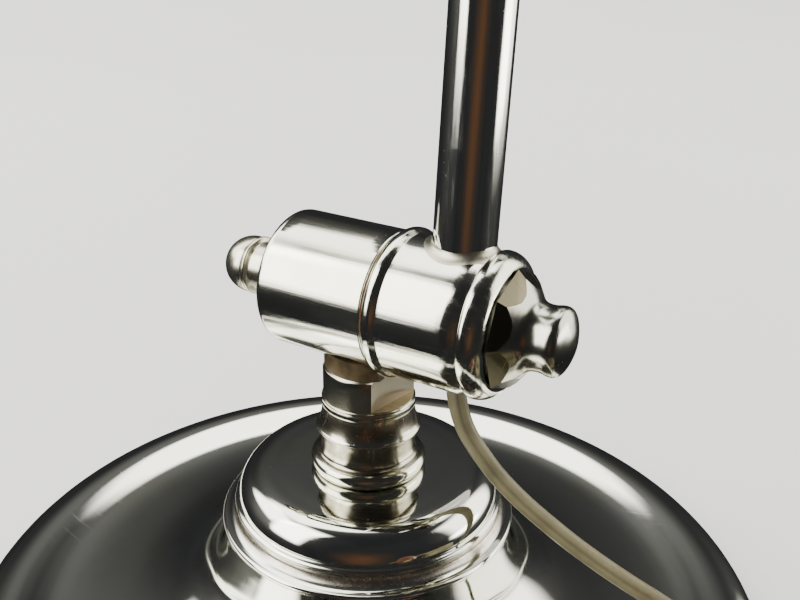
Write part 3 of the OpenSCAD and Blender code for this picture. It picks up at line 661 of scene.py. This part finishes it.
# fixed half of the barrel, end washer and domed nut
fb = lathe("fixed_barrel_v", smooth([(3.05, XL), (3.05, XL), (12.9, XL), (13.5, XL + 0.08), (13.95, XL + 0.3), (14.25, XL + 0.7), (14.38, XL + 1.2), (14.4, XL + 1.8), (14.4, XL + 1.8),
            (14.4, -5), (14.4, XM - 0.35), (14.4, XM - 0.35), (14.32, XM - 0.12), (14.1, XM), (14.1, XM), (12, XM), (12, XM), (12, XL + 3), (12, XL + 3), (3.05, XL + 3)], 4), BARREL, seg=240, angle=30)
piece(fb, "swivel", M_BARREL, "chrome", "fixed_barrel")
ew = lathe("end_washer_v", smooth([(3.1, XL), (3.1, XL), (7.6, XL), (7.9, XL - 0.12), (8.0, XL - 0.35), (8.0, XL - 0.8), (7.85, XL - 1.08), (7.5, XL - 1.2), (7.5, XL - 1.2), (3.1, XL - 1.2)], 4), BARREL, seg=128, angle=30)
piece(ew, "swivel", M_CHROME, "chrome", "end_washer")
dn = lathe("dome_nut_v", smooth([(3.1, XL - 1.2), (3.1, XL - 1.2), (5.2, XL - 1.2), (5.4, XL - 1.4), (5.4, XL - 5), (5.4, XL - 9.2), (5.4, XL - 9.2), (5.9, XL - 9.42), (6.25, XL - 9.55), (6.38, XL - 9.9),
            (6.25, XL - 10.3), (6.08, XL - 10.55), (6.08, XL - 10.55)] + [(r, z) for r, z in ell(0, XL - 11.6, 6.22, 6.2, 8, -90, 12)], 5), BARREL, seg=160, closed=False, angle=30)
piece(dn, "swivel", M_NUT, "chrome", "dome_nut")


# moving half: bead, barrel and the brazed socket with its fillet
def arm_barrel():
    prof = smooth([(12.4, XA), (12.4, XA), (13.6, XA), (13.6, XA), (14.4, XA + 0.12), (15.0, XA + 0.5), (15.4, XA + 1.1), (15.5, XA + 1.75), (15.4, XA + 2.4), (15.05, XA + 3.0),
                   (14.72, XA + 3.42), (14.72, XA + 3.42), (14.7, XA + 3.9), (14.7, 14), (14.7, 20), (14.7, 23.6), (14.66, 24.6), (14.5, 25.6), (14.22, 26.5), (14.0, 27.1), (13.92, XC),
                   (13.92, XC), (12.4, XC), (12.4, XC), (12.4, XA + 3.4), (12.4, XA + 3.4), (3.05, XA + 3.4), (3.05, XA + 3.4), (3.05, XA), (3.05, XA)], 8)
    dense = []
    for a, b in zip(prof[:-1], prof[1:]):
        dense.append(a)
        d = math.hypot(b[0] - a[0], b[1] - a[1])
        if a[0] > 13.8 and b[0] > 13.8 and d > 0.35:
            k = int(d / 0.3) + 1
            dense += [(a[0] + (b[0] - a[0]) * i / k, a[1] + (b[1] - a[1]) * i / k) for i in range(1, k)]
    dense.append(prof[-1])
    return lathe("arm_barrel_v", dense, BARREL, seg=300, angle=50)


ab = arm_barrel()
hole = lathe("tool", [(0, -20), (3.53, -20), (3.53, -6), (0, -6)], T((AX, 0, BZ)), seg=64, closed=False)
cut(ab, hole)
resharp(ab, 45)
piece(ab, "arm", M_BARREL, "chrome", "arm_barrel")


def fillet():
    """The brazed foot of the tube: a small hollow curve from the tube down to the barrel."""
    inv = STEM.inverted() @ BARREL
    rx = [(0, 14.7), (23.6, 14.7), (24.6, 14.66), (25.6, 14.5), (26.5, 14.22), (27.1, 14.0), (XC, 13.92), (40, 13.92)]
    def rad(x):
        for (a, ra), (b, rb) in zip(rx[:-1], rx[1:]):
            if x <= b:
                return ra + (rb - ra) * (x - a) / (b - a)
        return 13.92
    def foot(q, th):
        """height along the stem where it meets the barrel, at radius q and angle th"""
        lo, hi = 8.0, 18.0
        for _ in range(30):
            mid = (lo + hi) / 2
            w = inv.inverted() @ Vector((q * math.cos(th), q * math.sin(th), mid))
            if math.hypot(w.x, w.y) < rad(w.z):
                lo = mid
            else:
                hi = mid
        return lo
    n, k = 240, 14
    H, L = 1.35, 1.7
    verts, faces = [], []
    for j in range(n):
        th = 2 * math.pi * j / n
        for i in range(k + 1):
            s = math.pi / 2 * i / k
            q = 6.19 + L * (1 - math.cos(s))
            verts.append((q * math.cos(th), q * math.sin(th), foot(q, th) + H * (1 - math.sin(s)) - (0.03 if i == k else 0.0)))
    for j in range(n):
        j2 = (j + 1) % n
        for i in range(k):
            faces.append([j * (k + 1) + i, j2 * (k + 1) + i, j2 * (k + 1) + i + 1, j * (k + 1) + i + 1])
    return mesh_obj("fillet_v", verts, faces, STEM, 80)


piece(fillet(), "arm", M_FOOT, "chrome")
ec = lathe("end_cap_v", smooth([(12.15, XC), (12.15, XC), (13.92, XC), (13.92, XC), (14.15, XC + 0.1), (14.48, XC + 0.35), (14.66, XC + 0.75), (14.68, XC + 1.3), (14.56, XC + 2.0), (14.28, XC + 2.75),
            (13.82, XC + 3.45), (13.15, XC + 4.1), (12.4, XC + 4.5), (12.0, XC + 4.6), (12.0, XC + 4.6), (3.05, XK), (3.05, XK), (3.05, XC - 3), (3.05, XC - 3), (12.15, XC - 3), (12.15, XC - 3)], 7), BARREL, seg=300, angle=40)
piece(ec, "arm", M_BARREL, "chrome", "end_cap")

# octagonal clamp knob
kn = lathe("clamp_knob_v", smooth([(3.02, XK + 0.5), (3.02, XK + 0.5), (12.3, XK + 0.5), (12.3, XK + 0.5), (12.3, XK + 1.0), (11.9, XK + 1.35), (11.2, XK + 1.77), (10.35, XK + 2.32), (9.4, XK + 2.98),
            (8.4, XK + 3.72), (7.5, XK + 4.5), (6.9, XK + 5.35), (6.62, XK + 6.3), (6.55, XK + 7.2), (6.62, XK + 8.1), (6.78, XK + 8.9), (6.85, XK + 9.4),
            (6.82, XK + 10.1), (6.58, XK + 10.7), (6.05, XK + 11.2), (5.2, XK + 11.65), (4.0, XK + 12.12), (2.0, XK + 12.72), (0, XK + 13.0)], 7), BARREL, seg=300, closed=False, angle=60)
c8 = 1 / math.cos(math.radians(22.5))
pr = lathe("tool", [(0, XK - 1), (12.5825 * c8, XK - 1), (8.645 * c8, XK + 3.5), (20, XK + 3.6), (20, XK + 20), (0, XK + 20)], BARREL @ RZ(math.radians(155.4 + 22.5)), seg=8, closed=False)
# the knob's lathe needs a closed bottom for the cut
bm = bmesh.new()
bm.from_mesh(kn.data)
bmesh.ops.holes_fill(bm, edges=[e for e in bm.edges if e.is_boundary], sides=0)
bmesh.ops.recalc_face_normals(bm, faces=bm.faces)
bm.to_mesh(kn.data)
bm.free()
cut(kn, pr, "INTERSECT")
resharp(kn, 13)
piece(kn, "clamp", [M_KNOB, M_KNOBFLAT], "chrome", "clamp_knob")
# the knob's flat facets take the near-black tint of painted shade
for pf in kn.data.polygons:
    if pf.area > 4e-6:
        pf.material_index = 1


# arm tube
def arm_path():
    pts = [Vector((0, 0, 12.6 + (STEM_H - 12.6) * i / 40)) for i in range(41)]
    for i in range(1, 121):
        a = BEND * i / 120
        pts.append(Vector((0, BEND_R * (1 - math.cos(a)), STEM_H + BEND_R * math.sin(a))))
    return pts


def circle(r, n):
    return [(r * math.cos(2 * math.pi * j / n), r * math.sin(2 * math.pi * j / n)) for j in range(n)]


c62 = circle(6.2, 128)
at_v = tube("arm_tube_v", arm_path(), lambda i: c62, STEM)
piece(at_v, "arm", M_TUBE, "chrome", "arm_tube")
sl = lathe("arm_sleeve_v", smooth([(5.0, -3), (5.0, -3), (6.25, -3), (6.4, -2.9), (6.45, -2.7), (6.45, -2.7), (6.45, 11.7), (6.45, 11.7), (6.2, 12), (6.2, 12), (4.7, 12), (4.7, 12)], 3), NECK, seg=128, angle=30)
piece(sl, "arm", M_CHROME, "chrome")

# knuckle: the fork and the eye stay as built, with softened edges
def soften(name, mat, slot, width=0.0004, angle=35.0):
    o = nodes[name]
    o.data.materials.clear()
    o.data.materials.append(mat)
    o.data.shade_smooth()
    o.data.set_sharp_from_angle(angle=math.radians(angle))
    return o


# lampholder cap, shade, bulb
lc = lathe("lampholder_cap_v", smooth([(4.85, 13.2), (4.85, 13.2), (8.8, 13.2), (9.4, 13.35), (9.6, 13.8), (9.6, 15.6), (9.6, 15.6), (9.75, 16.3), (10.6, 17.9), (12.4, 19.8), (14.6, 21.4), (17.2, 23.6), (19.3, 26.2), (20.6, 29.2),
            (21.2, 32), (21.4, 35), (21.4, 38.4), (21.4, 38.4), (21.8, 38.7), (22.3, 39.1), (22.4, 39.7), (22.3, 40.4), (21.9, 40.8), (21.9, 40.8), (17.4, 40.8), (17.4, 40.8), (17.4, 38), (17.4, 38), (20.2, 38), (20.2, 34), (18.9, 27.8), (13, 21.8), (10, 19.6), (10, 19.6), (4.85, 19.6)], 5), SHADE, seg=200, angle=35)
piece(lc, "shade", M_CHROME, "chrome", "lampholder_cap")
sp = [(24, 41), (26.4, 41.3), (28.8, 42.5), (32.2, 45.8), (35.6, 51), (39, 58.5), (43, 69), (47.6, 81), (52.6, 94), (57.8, 107.5), (62.4, 119)]
out_s = smooth([(17.35, 41), (17.35, 41)] + sp + [(r, z) for r, z in ell(63.7, 125, 1.3, 1.3, -60, 90, 8)], 6)
in_s = smooth([(r, z) for r, z in ell(63.7, 125, 1.3, 1.3, 90, 200, 7)] + [(r - 0.85, z + 0.3) for r, z in sp[:0:-1]] + [(24, 41.9), (24, 41.9), (17.35, 41.9)], 6)
s_out = lathe("shade_outside_v", out_s, SHADE, seg=300, closed=False, angle=60)
piece(s_out, "shade", M_CHROME, "chrome", "shade")
s_in = lathe("shade_inside_v", in_s, SHADE, seg=300, closed=False, angle=60)
piece(s_in, "shade", M_ENAMEL, "chrome")
gl = lathe("bulb_glass_v", smooth([(0, 73.5), (0, 73.5), (13.4, 73.5), (13.4, 73.5), (13.7, 75.2), (14.6, 77.6), (16.4, 80.6), (18.5, 83.8), (20.5, 87.6)] + [(r, z) for r, z in ell(0, 101, 22.5, 22.5, -27, 90, 14)], 5), SHADE, seg=160, closed=False, angle=60)
piece(gl, "shade", M_GLASS, "glass", "bulb_glass")


def thread():
    p = [(0, 48.3), (3.0, 48.3), (3.2, 48.8), (8.0, 49.8), (12.2, 51.8)]
    z = 52.4
    while z < 69:
        p += [(12.35, z), (12.8, z + 0.55), (13.08, z + 1.3), (12.8, z + 2.05)]
        z += 2.8
    p += [(12.6, 70.2), (13.0, 71.0), (13.3, 73.5), (0, 73.5)]
    return p


bc = lathe("bulb_cap_v", smooth(thread(), 4), SHADE, seg=128, closed=False, angle=50)
piece(bc, "shade", M_STEEL, "steel", "bulb_cap")

# small turned pieces of the knuckle, and the shade ring
ps_v = lathe("pivot_screw_v", smooth([(0, 9.4), (4.3, 9.4), (4.3, 9.4), (4.42, 9.6), (4.42, 10.4), (4.2, 10.9), (3.4, 11.3), (1.8, 11.48), (0, 11.5)], 5), SHADE @ RY(math.radians(-90)), seg=96, closed=False, angle=35)
tool = box_obj("tool", (-8, -0.45, 10.7), (8, 0.45, 14), SHADE @ RY(math.radians(-90)))
cut(ps_v, tool)
resharp(ps_v, 35)
piece(ps_v, "arm", M_CHROME, "chrome")


def knurl(prof_, M, name, n_, depth, z0, z1, seg=360):
    def edit(v):
        if z0 < v.z < z1:
            r_ = math.hypot(v.x, v.y)
            a = math.atan2(v.y, v.x)
            s = abs(math.sin(a * n_ / 2))
            k = 1 - depth * (1 - s) ** 3 / max(r_, 0.1)
            return Vector((v.x * k, v.y * k, v.z))
        return v
    return lathe(name, prof_, M, seg=seg, closed=False, angle=50, edit=edit)


ts_p = smooth([(2.5, 4.2), (2.5, 4.2), (2.5, 9.5), (2.5, 9.5), (3.5, 9.5), (3.6, 9.7), (3.6, 11.6), (3.6, 11.6), (3.9, 12.2), (4.9, 12.7), (5.7, 13.1), (6.1, 13.6), (6.2, 14.2), (6.2, 16), (6.2, 18), (6.2, 19.2), (6.0, 19.8), (5.4, 20.2), (3.4, 20.45), (0, 20.58)], 5)
ts_v = knurl(ts_p, SHADE @ RY(math.radians(90)), "thumb_screw_v", 30, 0.45, 13.2, 19.7)
piece(ts_v, "tilt_screw", M_KNOB, "chrome", "thumb_screw")
sr_v = knurl(smooth([(17.25, 42.1), (17.25, 42.1), (23.2, 42.1), (23.9, 42.3), (24.2, 42.8), (24.2, 44.5), (24.2, 46.1), (23.9, 46.8), (22.8, 47.6), (22.8, 47.6), (17.25, 47.6)], 4), SHADE, "shade_ring_v", 48, 0.5, 42.9, 46.6, seg=384)
piece(sr_v, "shade", M_BLACK, "black_plastic", "shade_ring")

# plug
PLUG = T((131, -60, 14.5)) @ RY(math.radians(-90))
pb_p = smooth([(0, 0), (3.0, 0), (3.6, 0.25), (3.85, 0.7), (4.15, 3), (4.8, 8), (6.4, 11.8), (9.6, 15.4), (11.9, 18.4), (12.9, 22), (13.25, 26.2), (13.25, 26.2), (13.9, 27.4), (14.4, 28.4), (14.44, 29.2), (14.44, 34.6), (14.3, 35.3), (13.9, 35.75), (13.4, 35.8), (13.4, 35.8), (0, 35.8)], 5)
pb_v = knurl(pb_p, PLUG, "plug_body_v", 24, 0.55, 16.5, 25.8, seg=288)
piece(pb_v, "base", M_BROWN, "brown_plastic", "plug_body")

[x * MM for x in line[0]]
plen(up_path)
[x * MM for x in line[i_split]]
plen(low_path)

# ---------------------------------------------------------------- finishes of the CAD nodes that still show
SLOT_MAT = {"chrome": M_CHROME, "brass": M_BRASS, "steel": M_STEEL, "cast_iron": M_IRON, "felt": M_FELT, "fibre": M_FIBRE, "flex": M_FLEX,
            "black_plastic": M_BLACK, "brown_plastic": M_BROWN, "porcelain": M_PORC, "glass": M_GLASS}
for sub in frame["record"]["subparts"]:
    o = nodes[sub["node"]]
    if not o.hide_render:
        soften(sub["node"], SLOT_MAT[sub["material_slot"]], sub["material_slot"], angle=32)
for n in ("fork", "tilt_eye"):
    o = nodes[n]
    bv = o.modifiers.new("soft edges", "BEVEL")
    bv.width = 0.0005
    bv.segments = 3
    bv.limit_method = "ANGLE"
    bv.angle_limit = math.radians(50)
    bv.harden_normals = False

# ---------------------------------------------------------------- floor and light
def emitter_plane(name, size, pos, aim, color, power, spread=180, glossy=True, edge=0.22):
    ld = bpy.data.lights.new(name, "AREA")
    ld.shape = "RECTANGLE"
    ld.size, ld.size_y = size
    ld.energy = power
    ld.color = color
    ld.spread = math.radians(spread)
    if edge > 0:
        # the panel fades out towards its rim
        ld.use_nodes = True
        ln = ld.node_tree
        em = next(n for n in ln.nodes if n.type == "EMISSION")
        ge = ln.nodes.new("ShaderNodeNewGeometry")
        sp = ln.nodes.new("ShaderNodeSeparateXYZ")
        ln.links.new(ge.outputs["Parametric"], sp.inputs[0])
        prod = None
        for ax in (0, 1):
            d = math_node(ln, "ABSOLUTE", math_node(ln, "SUBTRACT", sp.outputs[ax], 0.5))
            mr = ln.nodes.new("ShaderNodeMapRange")
            mr.interpolation_type = "SMOOTHSTEP"
            mr.inputs["From Min"].default_value = 0.5
            mr.inputs["From Max"].default_value = 0.5 - edge
            mr.inputs["To Min"].default_value = 0.0
            mr.inputs["To Max"].default_value = 1.0
            ln.links.new(d, mr.inputs["Value"])
            prod = mr.outputs[0] if prod is None else math_node(ln, "MULTIPLY", prod, mr.outputs[0])
        ln.links.new(prod, em.inputs["Strength"])
    ob = bpy.data.objects.new(name, ld)
    sc.collection.objects.link(ob)
    d = (Vector(aim) - Vector(pos)).normalized()
    ob.matrix_world = Matrix.Translation(Vector(pos)) @ d.to_track_quat("-Z", "Y").to_matrix().to_4x4()
    ob.visible_camera = False
    ob.visible_glossy = glossy
    ob.visible_diffuse = not glossy
    return ob


me = bpy.data.meshes.new("floor")
S = 8.0
me.from_pydata([(-S, -S, 0), (S, -S, 0), (S, S, 0), (-S, S, 0)], [], [(0, 1, 2, 3)])
floor = bpy.data.objects.new("floor", me)
sc.collection.objects.link(floor)
fm, fnt, fbs = new_mat("floor")
fc = coords(fnt)
fnt.links.new(ramp(fnt, noise(fnt, fc, 2.0, 3, 0.5), [(0.3, (0.60, 0.595, 0.58)), (0.7, (0.63, 0.625, 0.61))]), fbs.inputs["Base Color"])
fbs.inputs["Roughness"].default_value = 0.9
fbs.inputs["Specular IOR Level"].default_value = 0.1
floor.data.materials.append(fm)
floor.location.z = -0.0002
floor.visible_glossy = False

# a pale dome all round, for the eye only: the plating mirrors the darker room outside it
me = bpy.data.meshes.new("backdrop")
dv, df = [], []
ND, MD, RD = 96, 24, 7.0
for i in range(MD + 1):
    e_ = math.radians(90.0 * i / MD)
    for j in range(ND):
        a_ = 2 * math.pi * j / ND
        dv.append((RD * math.cos(e_) * math.cos(a_), RD * math.cos(e_) * math.sin(a_), RD * math.sin(e_) - 0.01))
for i in range(MD):
    for j in range(ND):
        j2 = (j + 1) % ND
        df.append((i * ND + j, (i + 1) * ND + j, (i + 1) * ND + j2, i * ND + j2))
me.from_pydata(dv, [], df)
me.update()
for pf in me.polygons:
    pf.use_smooth = True
dome = bpy.data.objects.new("backdrop", me)
sc.collection.objects.link(dome)
dm, dnt, dbs = new_mat("backdrop")
dc = coords(dnt)
dnt.links.new(ramp(dnt, noise(dnt, dc, 0.5, 2, 0.5), [(0.3, (0.585, 0.58, 0.57)), (0.7, (0.61, 0.605, 0.595))]), dbs.inputs["Emission Color"])
dbs.inputs["Emission Strength"].default_value = 1.9
dbs.inputs["Base Color"].default_value = (0.02, 0.02, 0.02, 1.0)
dbs.inputs["Roughness"].default_value = 1.0
dome.data.materials.append(dm)
dm.cycles.emission_sampling = "NONE"
dome.visible_glossy = False

w = bpy.data.worlds.new("world")
sc.world = w
w.use_nodes = True
wn = w.node_tree
wn.nodes.clear()
wo = wn.nodes.new("ShaderNodeOutputWorld")
wb = wn.nodes.new("ShaderNodeBackground")
wb.inputs["Strength"].default_value = 1.0
wn.links.new(wb.outputs[0], wo.inputs[0])
wtc = wn.nodes.new("ShaderNodeTexCoord")
wnz = noise(wn, wtc.outputs["Generated"], 2.2, 3, 0.55)
def lobe(az, el, power_):
    """1 in the direction given, falling off smoothly round it"""
    a_, e_ = math.radians(az), math.radians(el)
    vm = wn.nodes.new("ShaderNodeVectorMath")
    vm.operation = "DOT_PRODUCT"
    wn.links.new(wtc.outputs["Generated"], vm.inputs[0])
    vm.inputs[1].default_value = (math.cos(e_) * math.cos(a_), math.cos(e_) * math.sin(a_), math.sin(e_))
    return math_node(wn, "POWER", math_node(wn, "MAXIMUM", vm.outputs["Value"], 0.0), power_)
wcol = mix(wn, wnz, (0.016, 0.017, 0.019), (0.040, 0.041, 0.044))
for az, el, pw, tone, amount in ((-150, 28, 9, (0.62, 0.61, 0.58), 0.55), (45, 18, 9, (0.60, 0.58, 0.54), 0.5), (140, 62, 14, (0.55, 0.55, 0.53), 0.6), (-62, -4, 26, (0.16, 0.075, 0.035), 0.85)):
    wcol = mix(wn, math_node(wn, "MULTIPLY", math_node(wn, "MULTIPLY", lobe(az, el, pw), amount), math_node(wn, "ADD", math_node(wn, "MULTIPLY", wnz, 1.0), 0.4)), wcol, tone)
wn.links.new(wcol, wb.inputs["Color"])

def polar(az, el, d, c=(0, 0, 0.08)):
    a, e = math.radians(az), math.radians(el)
    return (c[0] + d * math.cos(e) * math.cos(a), c[1] + d * math.cos(e) * math.sin(a), c[2] + d * math.sin(e))


# a tall box at the front left, a second one beside it further round, one low at the right, one above the back;
# a wide soft ceiling evens out the floor
emitter_plane("key", (0.60, 1.22), polar(-127, 29, 0.87), (0, 0, 0.08), (1.0, 0.985, 0.94), 17)
emitter_plane("left", (0.74, 0.68), polar(-164, 33, 0.90), (0, 0, 0.08), (1.0, 0.985, 0.94), 9)
emitter_plane("right", (1.15, 1.12), polar(41, 17, 0.90), (0, 0, 0.08), (1.0, 0.975, 0.92), 16)
emitter_plane("right_low", (0.50, 0.16), (0.62, 0.32, 0.045), (0, 0, 0.10), (1.0, 0.97, 0.92), 1.4)
emitter_plane("back_top", (1.70, 0.72), polar(122, 68, 0.95), (0, 0, 0.08), (1.0, 0.985, 0.94), 18)
emitter_plane("ceiling", (8.0, 8.0), (0, 0.6, 3.0), (0, 0.6, 0), (1.0, 0.995, 0.985), 440, glossy=False, edge=0)
emitter_plane("soft_left", (2.5, 2.5), polar(-150, 38, 3.2), (0, 0, 0.08), (1.0, 0.99, 0.97), 130, glossy=False, edge=0)
